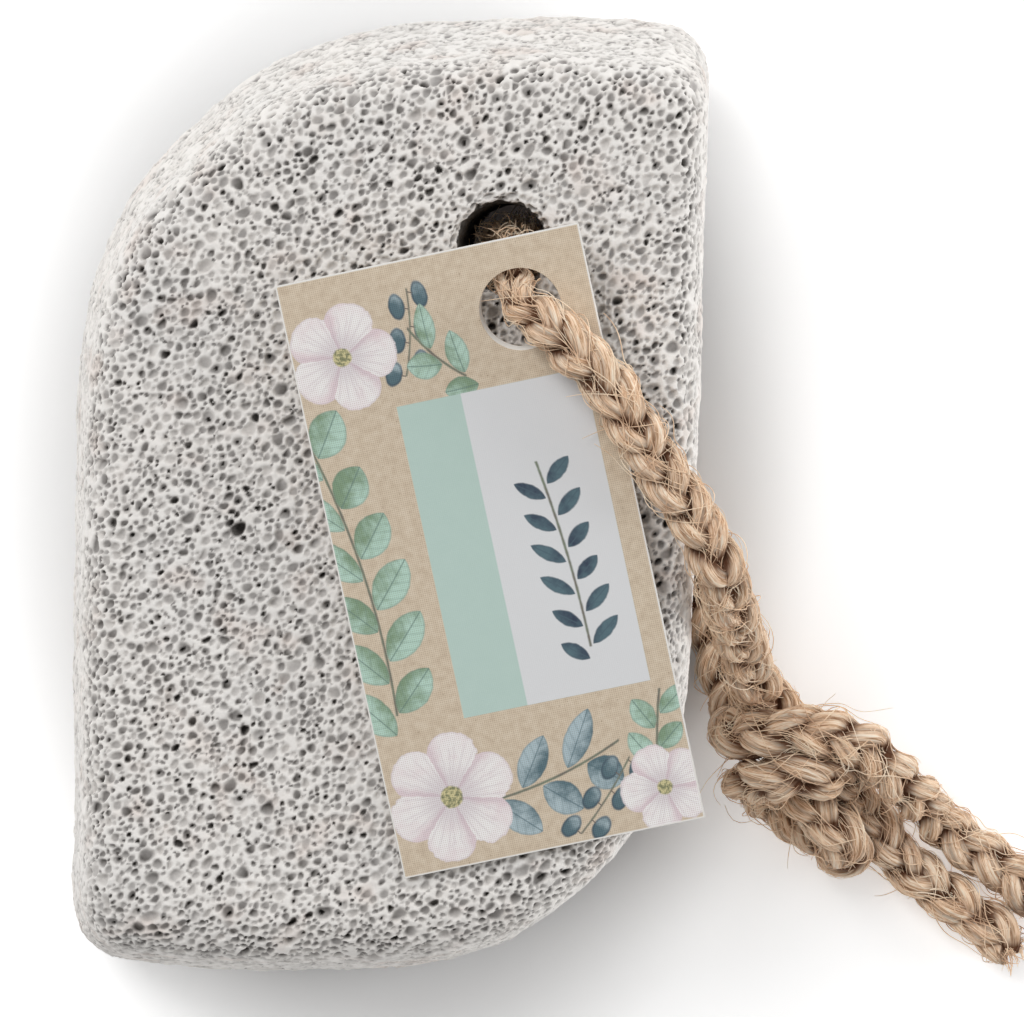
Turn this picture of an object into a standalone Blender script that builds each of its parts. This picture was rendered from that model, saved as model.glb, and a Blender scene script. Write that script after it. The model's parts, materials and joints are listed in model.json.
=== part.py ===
"""Pumice foot stone with a plaited jute hanging loop and a card swing tag.

The stone lies on its sawn back on a flat surface. The loop runs through its hole: one strand comes up
through the tag and over the stone's edge, the other passes under the stone, which it lifts on that side,
and both are tied in one overhand knot with two short tails. Z is up, the top of the stone points to +Y.
"""

import math

import bmesh
import bpy
import numpy as np
from mathutils import Matrix, Vector, noise

MM = 0.001
GAP = 0.0003  # clearance kept between touching pieces

# Stone, in its own frame before it is tipped: back on z = 0, front on z = STONE_THICKNESS
STONE_THICKNESS = 28.0 * MM
# Widest outline, anticlockwise from the middle of the left side, in millimetres
STONE_OUTLINE = (
    (-33.5, -11.4), (-33.5, -22.4), (-33.6, -34.4), (-33.6, -42.9), (-32.9, -46.2), (-31.2, -48.2),
    (-27.7, -49.4), (-18.5, -50.1), (-8.9, -50.2), (0.5, -49.7), (6.8, -48.6), (13.1, -46.2),
    (19.3, -41.7), (24.1, -36.4), (27.7, -29.8), (30.1, -21.9), (30.9, -11.4), (31.3, -1.0),
    (31.6, 11.6), (32.0, 24.1), (32.4, 36.6), (32.6, 42.9), (32.2, 45.9), (30.8, 47.8), (28.3, 48.8),
    (21.5, 49.4), (16.5, 49.6), (7.8, 49.2), (0.5, 48.7), (-6.7, 47.1), (-14.2, 43.8), (-20.4, 38.8),
    (-25.7, 33.3), (-28.9, 28.3), (-31.4, 21.5), (-32.9, 11.6), (-33.3, 1.1),
)
OUTLINE_POINTS = 120
# How far the sides lean in on their way up: left, right, bottom and top
SIDE_LEAN = (2.6 * MM, -0.7 * MM, 2.4 * MM, 4.2 * MM)
EDGE_ROUND = (4.4 * MM, 3.0 * MM, 6.0 * MM, 4.5 * MM)
BACK_ROUND = 1.8 * MM
LEAN_STARTS = 0.32  # share of the thickness
STONE_FACET = 3.2 * MM
SURFACE_WEAR = 0.35 * MM
UNEVENNESS = 1.5 * MM  # how far the facets' corners wander along the surface
PIT_COUNT = 500
PIT_RIM = 0.42 * MM
PIT_DEPTHS = (0.7 * MM, 1.4 * MM)
PIT_FLOOR_SHARES = (0.5, 0.8)
NOISE_SEED = 1795470082  # settles how the facets' corners wander
PIT_SEED = 7
REST_PAD = (-15.0 * MM, -6.0 * MM, 8.0 * MM)  # centre and half width of the unpitted part of the back

HOLE_CENTRE = (12.7 * MM, 25.8 * MM)
HOLE_RADIUS = 4.4 * MM
HOLE_FLARE = 1.0 * MM
HOLE_SIDES = 24

# The strand under the stone lifts it about a line square to LIFT_TOWARDS
CORD_DIAMETER = 5.2 * MM
LIFT_TOWARDS = Vector((0.869, 0.495, 0.0))
LOW_CORNER = Vector((-31.0 * MM, -45.3 * MM, 0.0))
CORD_REST = 2.65 * MM  # height of the centre line where the cord lies on the surface
UNDER_HEIGHT = CORD_REST + CORD_DIAMETER / 2 + GAP  # of the stone's back, over the strand
LIFT_ARM = (Vector((*HOLE_CENTRE, 0.0)) - LOW_CORNER).dot(LIFT_TOWARDS)
TIP_ANGLE = math.asin(UNDER_HEIGHT / LIFT_ARM)

# Tag, on the stone's front
TAG_WIDTH = 31.5 * MM
TAG_LENGTH = 62.2 * MM
TAG_THICKNESS = 0.55 * MM
TAG_CENTRE = (11.7 * MM, -5.35 * MM)
TAG_TURN = math.radians(11.8)
TAG_RISE = math.radians(4.4)  # its top stands on the strand that comes up through it
TAG_HOLE = (8.2 * MM, 23.7 * MM)  # from the tag's own middle
TAG_HOLE_RADIUS = 4.2 * MM
TAG_HOLE_SIDES = 32

# Cord routes from the middle of the stone's hole, in millimetres
FRONT_ROUTE = (
    (12.7, 25.8, 19.5), (12.5, 24.6, 27.0), (12.35, 23.4, 33.5), (12.7, 22.2, 35.6),
    (13.5, 19.4, 38.1), (16.3, 17.0, 41.05), (19.9, 13.7, 41.35), (23.8, 8.9, 40.7), (27.4, 3.2, 38.9),
    (30.8, -1.9, 36.6), (33.7, -7.0, 34.9), (35.5, -12.2, 27.0), (37.1, -16.8, 18.0),
    (38.7, -21.4, 10.8), (40.8, -25.5, 8.7), (43.2, -29.3, 8.8), (45.8, -32.5, 8.8),
    (48.1, -35.2, 8.4), (49.7, -37.0, 6.6), (50.1, -37.9, 4.2), (48.7, -38.0, 2.8), (45.9, -36.7, 2.6),
    (42.9, -34.4, 2.7), (39.8, -32.3, 3.4), (37.8, -30.9, 6.2), (37.3, -29.9, 10.0),
    (38.8, -29.5, 13.0), (41.3, -29.4, 13.9), (44.3, -29.4, 13.6), (47.2, -29.4, 11.0),
    (49.4, -31.2, 7.6), (51.2, -33.9, 4.6), (52.8, -36.6, 2.9), (55.0, -39.3, 2.7), (58.0, -41.8, 2.7),
    (61.0, -44.0, 2.7), (63.7, -46.4, 2.7), (66.0, -48.1, 2.7),
)
BACK_ROUTE = (
    (12.7, 25.8, 19.5), (13.2, 26.05, 12.0), (13.6, 26.3, 6.9), (14.1, 25.3, 3.9), (15.4, 22.8, 2.7),
    (19.0, 15.8, 2.65), (23.5, 7.2, 2.65), (31.7, -8.6, 2.65), (33.5, -12.6, 2.65),
    (34.6, -16.9, 2.65), (35.9, -20.9, 3.0), (36.8, -23.6, 5.0), (37.4, -25.1, 8.8),
    (38.6, -25.4, 12.4), (41.3, -25.3, 14.2), (44.2, -25.0, 14.5), (47.2, -25.4, 14.2),
    (49.6, -26.7, 13.2), (51.3, -28.9, 11.0), (52.7, -31.7, 7.8), (54.7, -34.2, 4.6),
    (57.6, -35.9, 2.8), (61.1, -37.6, 2.7), (64.7, -39.3, 2.7), (67.4, -41.4, 2.7), (69.2, -43.9, 2.7),
)
ROUTE_STEP = 1.3  # spacing of the points that the knot is eased with, in millimetres
FRONT_HELD = 76.0  # length of the front strand, from the hole, that the easing leaves alone
BACK_HELD = 63.0
EASE_GAP = 0.15  # left between the knot's turns
EASE_ROUNDS = 60
EASE_NEIGHBOURS = 7
EASE_RAMP = 6
EASE_PUSH = 0.35
EASE_SOFTNESS = 0.06
TUBE_STEP_KNOT = 2.1  # spacing of the tube's points in the knot and outside it
TUBE_STEP_RUN = 8.0
NEAR_HOLE = 26.0  # on both sides of the hole's middle
# The cord's width as a share of its full one, at millimetres from the middle of the hole (less than
# nothing on the front strand): squeezed in the knot, and in the hole and the tag
CORD_WIDTHS = (
    (-150.0, 1.0), (-144.0, 0.88), (-84.0, 0.88), (-78.0, 1.0), (-26.0, 1.0), (-21.0, 0.78),
    (21.0, 0.78), (26.0, 1.0), (62.0, 1.0), (67.0, 0.88), (106.0, 0.88), (112.0, 1.0),
)


def clear_scene():
    for obj in list(bpy.data.objects):
        bpy.data.objects.remove(obj, do_unlink=True)


def collection(name):
    made = bpy.data.collections.new(name)
    bpy.context.scene.collection.children.link(made)
    return made


def material(name, colour, roughness):
    made = bpy.data.materials.new(name)
    made.use_nodes = True
    shader = made.node_tree.nodes["Principled BSDF"]
    shader.inputs["Base Color"].default_value = (*colour, 1.0)
    shader.inputs["Roughness"].default_value = roughness
    shader.inputs["Metallic"].default_value = 0.0
    return made


def mesh_object(name, bm, home, finish=None):
    mesh = bpy.data.meshes.new(name)
    bm.to_mesh(mesh)
    bm.free()
    if finish:
        mesh.materials.append(finish)
    obj = bpy.data.objects.new(name, mesh)
    home.objects.link(obj)
    return obj


def evaluated_bmesh(obj):
    """The object's mesh with its modifiers applied."""
    graph = bpy.context.evaluated_depsgraph_get()
    mesh = bpy.data.meshes.new_from_object(obj.evaluated_get(graph))
    bm = bmesh.new()
    bm.from_mesh(mesh)
    bpy.data.meshes.remove(mesh)
    return bm


def curve_through(points, per_span=24):
    """A dense smooth curve through the points, from one end to the other."""
    p = np.asarray(points, float)
    p = np.vstack([2 * p[0] - p[1], p, 2 * p[-1] - p[-2]])
    dense = []
    for a, b, c, d in zip(p, p[1:], p[2:], p[3:]):
        for t in np.linspace(0.0, 1.0, per_span, endpoint=False):
            dense.append(
                0.5 * (2 * b + (c - a) * t + (2 * a - 5 * b + 4 * c - d) * t**2
                       + (3 * b - a - 3 * c + d) * t**3)
            )
    dense.append(p[-2])
    return np.array(dense)


def lengths_along(points):
    steps = np.linalg.norm(np.diff(points, axis=0), axis=1)
    return np.concatenate([[0.0], np.cumsum(steps)])


def points_at(points, where):
    along = lengths_along(points)
    return np.stack([np.interp(where, along, points[:, k]) for k in range(points.shape[1])], axis=1)


def evenly(points, step):
    whole = lengths_along(points)[-1]
    return points_at(points, np.linspace(0.0, whole, round(whole / step) + 1))


# ---------------------------------------------------------------- stone


def outline_loop():
    closed = [*STONE_OUTLINE[-2:], *STONE_OUTLINE, *STONE_OUTLINE[:2]]
    dense = curve_through(closed)
    span = 24
    dense = dense[2 * span:-(span + 1)] * MM
    whole = lengths_along(dense)[-1]
    return points_at(dense, np.linspace(0.0, whole, OUTLINE_POINTS, endpoint=False))


def level_insets():
    """Heights from back to front, each with how far it is inside the widest outline on the four sides."""
    levels = []
    for turn in (0.0, 30.0, 60.0, 90.0):
        rounding = BACK_ROUND * (1.0 - math.sin(math.radians(turn)))
        height = BACK_ROUND * (1.0 - math.cos(math.radians(turn)))
        levels.append((height, [rounding] * 4))
    lean_from = LEAN_STARTS * STONE_THICKNESS
    shoulder = STONE_THICKNESS - max(EDGE_ROUND)
    for share in (0.0, 0.5, 1.0):
        levels.append((lean_from + share * (shoulder - lean_from), [lean * share for lean in SIDE_LEAN]))
    for turn in (25.0, 50.0, 72.0, 90.0):
        rise = math.sin(math.radians(turn))
        tuck = 1.0 - math.cos(math.radians(turn))
        insets = [lean + radius * tuck for lean, radius in zip(SIDE_LEAN, EDGE_ROUND)]
        levels.append((shoulder + max(EDGE_ROUND) * rise, insets))
    return levels


def stone_form(home):
    """The smooth block: the outline at each level, narrowed from its four sides."""
    loop = outline_loop()
    low, high = loop.min(axis=0), loop.max(axis=0)
    bm = bmesh.new()
    rings = []
    for height, (left, right, bottom, top) in level_insets():
        inner_low = low + (left, bottom)
        inner_high = high - (right, top)
        placed = inner_low + (loop - low) / (high - low) * (inner_high - inner_low)
        rings.append([bm.verts.new((x, y, height)) for x, y in placed])
    for below, above in zip(rings, rings[1:]):
        for i in range(OUTLINE_POINTS):
            j = (i + 1) % OUTLINE_POINTS
            bm.faces.new((below[i], below[j], above[j], above[i]))
    bm.faces.new(reversed(rings[0]))
    bm.faces.new(rings[-1])
    return mesh_object("stone_form", bm, home)


def faceted(form, home):
    """The form rebuilt from even four-sided facets, which are drawn back onto its surface."""
    even = bpy.data.objects.new("stone_facets", form.data)
    home.objects.link(even)
    remesh = even.modifiers.new("facets", "REMESH")
    remesh.mode = "VOXEL"
    remesh.voxel_size = STONE_FACET
    drawn = even.modifiers.new("drawn_back", "SHRINKWRAP")
    drawn.wrap_method = "NEAREST_SURFACEPOINT"
    drawn.target = form
    return even


def on_back(face):
    return face.normal.z < -0.99 and face.calc_center_median().z < 0.1 * STONE_FACET


def flatten_back(bm):
    """The back is a saw cut: its middle is truly flat."""
    back = [face for face in bm.faces if on_back(face)]
    for vert in {vert for face in back for vert in face.verts}:
        vert.co.z = 0.0


def wear_surface(bm):
    """Sinks the surface unevenly, never outwards, and leaves the sawn back flat."""
    noise.seed_set(NOISE_SEED)
    bm.normal_update()
    for vert in bm.verts:
        where = vert.co / (2.5 * MM)
        wander = noise.noise_vector(where) * UNEVENNESS
        if vert.co.z > 0.0:
            wander -= vert.normal * wander.dot(vert.normal)
            wander -= vert.normal * SURFACE_WEAR * (0.5 + 0.5 * noise.noise(where))
        else:
            wander.z = 0.0
        vert.co += wander


def make_rest_pad(bm):
    """Joins the unpitted square of the back into one flat face and returns it."""
    x, y, half = REST_PAD
    inside = []
    for face in bm.faces:
        centre = face.calc_center_median()
        if on_back(face) and abs(centre.x - x) < half and abs(centre.y - y) < half:
            inside.append(face)
    return bmesh.ops.dissolve_faces(bm, faces=inside)["region"][0]


def pick_pit_faces(bm, pad, rng):
    """Faces spread at random over the stone, no two side by side and none at the hole or on the pad."""
    faces = sorted(bm.faces, key=lambda face: tuple(face.calc_center_median()))
    taken = set(pad.edges)
    chosen = []
    keep_off = HOLE_RADIUS + HOLE_FLARE + STONE_FACET
    smallest = (4 * PIT_RIM) ** 2
    for index in rng.permutation(len(faces)):
        if len(chosen) == PIT_COUNT:
            break
        face = faces[index]
        at_hole = math.dist(face.calc_center_median()[:2], HOLE_CENTRE) < keep_off
        unfit = len(face.verts) != 4 or face.calc_area() < smallest
        if at_hole or unfit or any(edge in taken for edge in face.edges):
            continue
        taken.update(face.edges)
        chosen.append(face)
    return chosen


def sink_pits(bm, pad):
    rng = np.random.RandomState(PIT_SEED)
    chosen = pick_pit_faces(bm, pad, rng)
    bmesh.ops.inset_individual(bm, faces=chosen, thickness=PIT_RIM, use_even_offset=True)
    bm.normal_update()
    for face in chosen:
        centre = face.calc_center_median()
        sunk = face.normal * rng.uniform(*PIT_DEPTHS)
        share = rng.uniform(*PIT_FLOOR_SHARES)
        for vert in face.verts:
            vert.co = centre + (vert.co - centre) * share - sunk


def hole_cutter(home):
    """A round drill with flared ends, turned from its half profile."""
    reach = 2.0 * MM
    wide = HOLE_RADIUS + HOLE_FLARE
    profile = (
        (0.0, -reach), (wide, -reach), (wide, 0.0), (HOLE_RADIUS, HOLE_FLARE),
        (HOLE_RADIUS, STONE_THICKNESS - HOLE_FLARE), (wide, STONE_THICKNESS),
        (wide, STONE_THICKNESS + reach), (0.0, STONE_THICKNESS + reach),
    )
    bm = bmesh.new()
    verts = [bm.verts.new((radius, 0.0, height)) for radius, height in profile]
    edges = [bm.edges.new(pair) for pair in zip(verts, verts[1:])]
    bmesh.ops.spin(
        bm, geom=verts + edges, cent=(0, 0, 0), axis=(0, 0, 1), angle=2 * math.pi,
        steps=HOLE_SIDES, use_merge=True,
    )
    bmesh.ops.remove_doubles(bm, verts=bm.verts, dist=0.01 * MM)
    bmesh.ops.recalc_face_normals(bm, faces=bm.faces)
    cutter = mesh_object("hole_cutter", bm, home)
    cutter.location = (*HOLE_CENTRE, 0.0)
    cutter.hide_render = True
    cutter.display_type = "WIRE"
    return cutter


def tipped():
    """How the finished stone lies: turned up on one side, its lowest corner on the surface."""
    axis = Vector((LIFT_TOWARDS.y, -LIFT_TOWARDS.x, 0.0))
    middle = Matrix.Translation((0.0, 0.0, STONE_THICKNESS / 2))
    turn = middle @ Matrix.Rotation(TIP_ANGLE, 4, axis) @ middle.inverted()
    under = turn @ Vector((*HOLE_CENTRE, 0.0))
    return Matrix.Translation((0.0, 0.0, UNDER_HEIGHT - under.z)) @ turn


def make_stone(parts, cutters, finish):
    form = stone_form(cutters)
    even = faceted(form, cutters)
    bm = evaluated_bmesh(even)
    for helper in (even, form):
        bpy.data.objects.remove(helper)
    flatten_back(bm)
    wear_surface(bm)
    pad = make_rest_pad(bm)
    sink_pits(bm, pad)
    stone = mesh_object("stone", bm, parts, finish)
    drill = stone.modifiers.new("hole", "BOOLEAN")
    drill.operation = "DIFFERENCE"
    drill.solver = "EXACT"
    drill.object = hole_cutter(cutters)
    stone.matrix_world = tipped()
    drill.object.matrix_world = tipped() @ Matrix.Translation((*HOLE_CENTRE, 0.0))
    return stone


# ---------------------------------------------------------------- tag


def make_tag(parts, finish):
    """A flat card with a punched hole, leaning on the strand beneath its top."""
    shape = bpy.data.curves.new("tag", "CURVE")
    shape.dimensions = "2D"
    shape.fill_mode = "BOTH"
    shape.extrude = TAG_THICKNESS / 2
    half_width, half_length = TAG_WIDTH / 2, TAG_LENGTH / 2
    corners = [(-half_width, -half_length), (half_width, -half_length),
               (half_width, half_length), (-half_width, half_length)]
    turns = [2 * math.pi * i / TAG_HOLE_SIDES for i in range(TAG_HOLE_SIDES)]
    rim = [(TAG_HOLE[0] + TAG_HOLE_RADIUS * math.cos(a), TAG_HOLE[1] + TAG_HOLE_RADIUS * math.sin(a))
           for a in turns]
    for outline in (corners, rim):
        spline = shape.splines.new("POLY")
        spline.points.add(len(outline) - 1)
        for point, (x, y) in zip(spline.points, outline):
            point.co = (x, y, 0.0, 1.0)
        spline.use_cyclic_u = True
    shape.materials.append(finish)
    tag = bpy.data.objects.new("tag", shape)
    parts.objects.link(tag)
    height = STONE_THICKNESS + GAP + TAG_THICKNESS / 2 + half_length * math.sin(TAG_RISE)
    tag.matrix_world = (
        tipped() @ Matrix.Translation((*TAG_CENTRE, height))
        @ Matrix.Rotation(TAG_TURN, 4, "Z") @ Matrix.Rotation(TAG_RISE, 4, "X")
    )
    return tag


# ---------------------------------------------------------------- cord


def cord_width(from_middle):
    """The cord's width as a share of its full one."""
    return np.interp(from_middle, *zip(*CORD_WIDTHS))


def ease_knot(points, middle, held_from, held_to):
    """Pushes the knot's turns apart until no two come closer than the cord is thick.

    The points from held_from to held_to, which pass through the stone, stay where they are.
    """
    points = points.copy()
    order = np.arange(len(points))
    apart = np.abs(order[:, None] - order) > EASE_NEIGHBOURS
    outside = np.maximum(held_from - order, order - held_to + 1)
    free = np.clip(outside / EASE_RAMP, 0.0, 1.0)
    free[[0, -1]] = 0.0
    reach = CORD_DIAMETER / MM / 2 * cord_width((order - middle) * ROUTE_STEP)
    clearance = reach[:, None] + reach + EASE_GAP
    for _ in range(EASE_ROUNDS):
        between = points[:, None] - points
        distance = np.linalg.norm(between, axis=2) + np.eye(len(points))
        near = apart & (distance < clearance)
        push = np.where(near, EASE_PUSH * (clearance - distance) / distance, 0.0)
        move = (between * push[..., None]).sum(axis=1)
        move[1:-1] += EASE_SOFTNESS * ((points[:-2] + points[2:]) / 2 - points[1:-1])
        points += move * free[:, None]
        points[:, 2] = np.maximum(points[:, 2], CORD_REST / MM)
    return points


def cord_path():
    """The cord's whole centre line in millimetres, from the front strand's tail to the back strand's.

    Also returns the length along it at which the middle of the stone's hole lies.
    """
    front = evenly(curve_through(FRONT_ROUTE), ROUTE_STEP)[::-1]
    back = evenly(curve_through(BACK_ROUTE), ROUTE_STEP)
    middle = len(front) - 1
    held_from = middle - round(FRONT_HELD / ROUTE_STEP)
    held_to = middle + round(BACK_HELD / ROUTE_STEP)
    path = ease_knot(np.vstack([front, back[1:]]), middle, held_from, held_to)
    return path, lengths_along(path)[middle]


def tube_stations(whole, middle):
    """Lengths along the cord at which the tube has a ring: close together in the knot and at the hole."""
    run_from, run_to = middle - FRONT_HELD, middle + BACK_HELD
    spans = (
        (0.0, 20.0, TUBE_STEP_RUN / 2), (20.0, run_from, TUBE_STEP_KNOT),
        (run_from, middle - NEAR_HOLE, TUBE_STEP_RUN / 2),
        (middle - NEAR_HOLE, middle + NEAR_HOLE, TUBE_STEP_KNOT * 1.7),
        (middle + NEAR_HOLE, run_to, TUBE_STEP_RUN), (run_to, whole - 18.0, TUBE_STEP_KNOT),
        (whole - 18.0, whole, TUBE_STEP_RUN / 2),
    )
    stations = [0.0]
    for start, end, step in spans:
        stations.extend(np.linspace(start, end, max(1, round((end - start) / step)) + 1)[1:])
    return np.array(stations)


def make_cord(parts, finish):
    path, middle = cord_path()
    stations = tube_stations(lengths_along(path)[-1], middle)
    centres = points_at(path, stations) * MM
    shape = bpy.data.curves.new("cord", "CURVE")
    shape.dimensions = "3D"
    shape.bevel_depth = CORD_DIAMETER / 2
    shape.bevel_resolution = 2
    shape.use_fill_caps = True
    spline = shape.splines.new("POLY")
    spline.points.add(len(centres) - 1)
    for point, centre, station in zip(spline.points, centres, stations):
        point.co = (*centre, 1.0)
        point.radius = cord_width(station - middle)
    shape.materials.append(finish)
    cord = bpy.data.objects.new("cord", shape)
    parts.objects.link(cord)
    return cord


def main():
    clear_scene()
    parts = collection("pumice_stone")
    cutters = collection("cutters")
    make_stone(parts, cutters, material("pumice", (0.72, 0.71, 0.69), 0.95))
    make_tag(parts, material("card", (0.68, 0.55, 0.38), 0.75))
    make_cord(parts, material("jute", (0.50, 0.34, 0.20), 0.9))


main()
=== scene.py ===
"""Pumice foot stone on a plaited jute loop with a card swing tag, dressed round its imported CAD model.

Lengths are in metres, written as millimetres times MM. Z is up and the top of the stone points to +Y.
"""

import json
import math

import bmesh
import bpy
import numpy as np
from mathutils import Matrix, Vector, kdtree, noise

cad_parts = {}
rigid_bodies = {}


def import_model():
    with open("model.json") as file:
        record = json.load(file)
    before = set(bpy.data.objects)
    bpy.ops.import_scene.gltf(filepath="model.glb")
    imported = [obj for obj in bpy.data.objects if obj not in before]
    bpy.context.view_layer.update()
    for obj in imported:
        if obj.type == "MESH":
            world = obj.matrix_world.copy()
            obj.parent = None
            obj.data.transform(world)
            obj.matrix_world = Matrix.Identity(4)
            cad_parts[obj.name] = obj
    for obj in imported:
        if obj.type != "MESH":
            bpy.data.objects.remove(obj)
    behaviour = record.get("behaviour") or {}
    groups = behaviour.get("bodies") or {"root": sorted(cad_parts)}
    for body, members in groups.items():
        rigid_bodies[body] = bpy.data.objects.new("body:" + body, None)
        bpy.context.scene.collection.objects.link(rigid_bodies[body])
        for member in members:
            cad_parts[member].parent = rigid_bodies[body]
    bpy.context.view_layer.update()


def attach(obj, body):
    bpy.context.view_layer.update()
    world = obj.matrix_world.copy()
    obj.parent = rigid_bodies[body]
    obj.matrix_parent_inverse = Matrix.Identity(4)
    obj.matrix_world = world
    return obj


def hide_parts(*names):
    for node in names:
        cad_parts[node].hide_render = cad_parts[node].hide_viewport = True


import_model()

MM = 0.001
GAP = 0.3 * MM

# ---------------- sizes shared with the CAD model

STONE_THICKNESS = 28.0 * MM
STONE_OUTLINE = (
    (-33.5, -11.4), (-33.5, -22.4), (-33.6, -34.4), (-33.6, -42.9), (-32.9, -46.2), (-31.2, -48.2),
    (-27.7, -49.4), (-18.5, -50.1), (-8.9, -50.2), (0.5, -49.7), (6.8, -48.6), (13.1, -46.2),
    (19.3, -41.7), (24.1, -36.4), (27.7, -29.8), (30.1, -21.9), (30.9, -11.4), (31.3, -1.0),
    (31.6, 11.6), (32.0, 24.1), (32.4, 36.6), (32.6, 42.9), (32.2, 45.9), (30.8, 47.8), (28.3, 48.8),
    (21.5, 49.4), (16.5, 49.6), (7.8, 49.2), (0.5, 48.7), (-6.7, 47.1), (-14.2, 43.8), (-20.4, 38.8),
    (-25.7, 33.3), (-28.9, 28.3), (-31.4, 21.5), (-32.9, 11.6), (-33.3, 1.1),
)
OUTLINE_POINTS = 240
# How far the sides lean in on their way up: left, right, bottom and top
SIDE_LEAN = (2.6 * MM, -0.7 * MM, 2.4 * MM, 4.2 * MM)
EDGE_ROUND = (4.4 * MM, 3.0 * MM, 6.0 * MM, 4.5 * MM)
BACK_ROUND = 1.8 * MM
LEAN_STARTS = 0.32  # share of the thickness
HOLE_CENTRE = (12.7 * MM, 25.8 * MM)
HOLE_RADIUS = 4.4 * MM
HOLE_FLARE = 0.8 * MM

CORD_DIAMETER = 5.2 * MM
LIFT_TOWARDS = Vector((0.869, 0.495, 0.0))
LOW_CORNER = Vector((-31.0 * MM, -45.3 * MM, 0.0))
CORD_REST = 2.65 * MM
UNDER_HEIGHT = CORD_REST + CORD_DIAMETER / 2 + GAP
LIFT_ARM = (Vector((*HOLE_CENTRE, 0.0)) - LOW_CORNER).dot(LIFT_TOWARDS)
TIP_ANGLE = math.asin(UNDER_HEIGHT / LIFT_ARM)

TAG_WIDTH = 31.5 * MM
TAG_LENGTH = 62.2 * MM
TAG_THICKNESS = 0.55 * MM
TAG_CENTRE = (11.7 * MM, -5.35 * MM)
TAG_TURN = math.radians(11.8)
TAG_RISE = math.radians(4.4)
TAG_HOLE = (8.2 * MM, 23.7 * MM)
TAG_HOLE_RADIUS = 4.2 * MM

# Cord routes from the middle of the stone's hole, in millimetres
FRONT_ROUTE = (
    (12.7, 25.8, 19.5), (12.5, 24.6, 27.0), (12.35, 23.4, 33.5), (12.7, 22.2, 35.6),
    (13.5, 19.4, 38.1), (16.3, 17.0, 41.05), (19.9, 13.7, 41.35), (23.8, 8.9, 40.7), (27.4, 3.2, 38.9),
    (30.8, -1.9, 36.6), (33.7, -7.0, 34.9), (35.5, -12.2, 27.0), (37.1, -16.8, 18.0),
    (38.7, -21.4, 10.8), (40.8, -25.5, 8.7), (43.2, -29.3, 8.8), (45.8, -32.5, 8.8),
    (48.1, -35.2, 8.4), (49.7, -37.0, 6.6), (50.1, -37.9, 4.2), (48.7, -38.0, 2.8), (45.9, -36.7, 2.6),
    (42.9, -34.4, 2.7), (39.8, -32.3, 3.4), (37.8, -30.9, 6.2), (37.3, -29.9, 10.0),
    (38.8, -29.5, 13.0), (41.3, -29.4, 13.9), (44.3, -29.4, 13.6), (47.2, -29.4, 11.0),
    (49.4, -31.2, 7.6), (51.2, -33.9, 4.6), (52.8, -36.6, 2.9), (55.0, -39.3, 2.7), (58.0, -41.8, 2.7),
    (61.0, -44.0, 2.7), (63.7, -46.4, 2.7), (66.0, -48.1, 2.7),
)
BACK_ROUTE = (
    (12.7, 25.8, 19.5), (13.2, 26.05, 12.0), (13.6, 26.3, 6.9), (14.1, 25.3, 3.9), (15.4, 22.8, 2.7),
    (19.0, 15.8, 2.65), (23.5, 7.2, 2.65), (31.7, -8.6, 2.65), (33.5, -12.6, 2.65),
    (34.6, -16.9, 2.65), (35.9, -20.9, 3.0), (36.8, -23.6, 5.0), (37.4, -25.1, 8.8),
    (38.6, -25.4, 12.4), (41.3, -25.3, 14.2), (44.2, -25.0, 14.5), (47.2, -25.4, 14.2),
    (49.6, -26.7, 13.2), (51.3, -28.9, 11.0), (52.7, -31.7, 7.8), (54.7, -34.2, 4.6),
    (57.6, -35.9, 2.8), (61.1, -37.6, 2.7), (64.7, -39.3, 2.7), (67.4, -41.4, 2.7), (69.2, -43.9, 2.7),
)
ROUTE_STEP = 1.3
FRONT_HELD = 76.0
BACK_HELD = 63.0
EASE_GAP = 0.15
EASE_ROUNDS = 60
EASE_NEIGHBOURS = 7
EASE_RAMP = 6
EASE_PUSH = 0.35
EASE_SOFTNESS = 0.06
# The cord's width as a share of its full one, at millimetres from the middle of the hole (less than
# nothing on the front strand): squeezed in the knot, and in the hole and the tag
CORD_WIDTHS = (
    (-150.0, 1.0), (-144.0, 0.88), (-84.0, 0.88), (-78.0, 1.0), (-26.0, 1.0), (-21.0, 0.78),
    (21.0, 0.78), (26.0, 1.0), (62.0, 1.0), (67.0, 0.88), (106.0, 0.88), (112.0, 1.0),
)

# ---------------- camera and light

CAMERA_PLACE = (12.72 * MM, -1.52 * MM, 700.0 * MM)
CAMERA_LENS = 229.3  # millimetres, as the sensor's width
SENSOR_WIDTH = 36.0
FLOOR_SIZE = 3.0
FLOOR_GLOW = 0.34  # the floor glows with painted light that takes off the deepest shadow
GLOW_STARTS = (0.034, 0.047)  # metres from the middle between which the floor's painted glow rises; nearer in, its dim glow leaves a painted shadow round the stone
DARK_ENDS = (0.026, 0.034)  # nearer than this the floor is painted dark as shade, so that the stone's hole looks deep
WORLD_STRENGTH = 0.34
# Name, direction, distance, size and power of each soft box
LAMPS = (
    ("key", (-0.50, 0.57, 0.92), 1.1, 0.55, 6.0),
    ("overhead", (0.0, 0.2, 1.0), 1.2, 1.0, 1.5),
    ("side", (1.0, 0.15, 0.28), 1.2, 0.6, 6.4),
)


def link(obj):
    bpy.context.scene.collection.objects.link(obj)
    return obj


def set_camera():
    data = bpy.data.cameras.new("camera")
    data.sensor_width = SENSOR_WIDTH
    data.lens = CAMERA_LENS
    data.clip_start = 0.01
    camera = link(bpy.data.objects.new("camera", data))
    camera.location = CAMERA_PLACE
    bpy.context.scene.camera = camera


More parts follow.
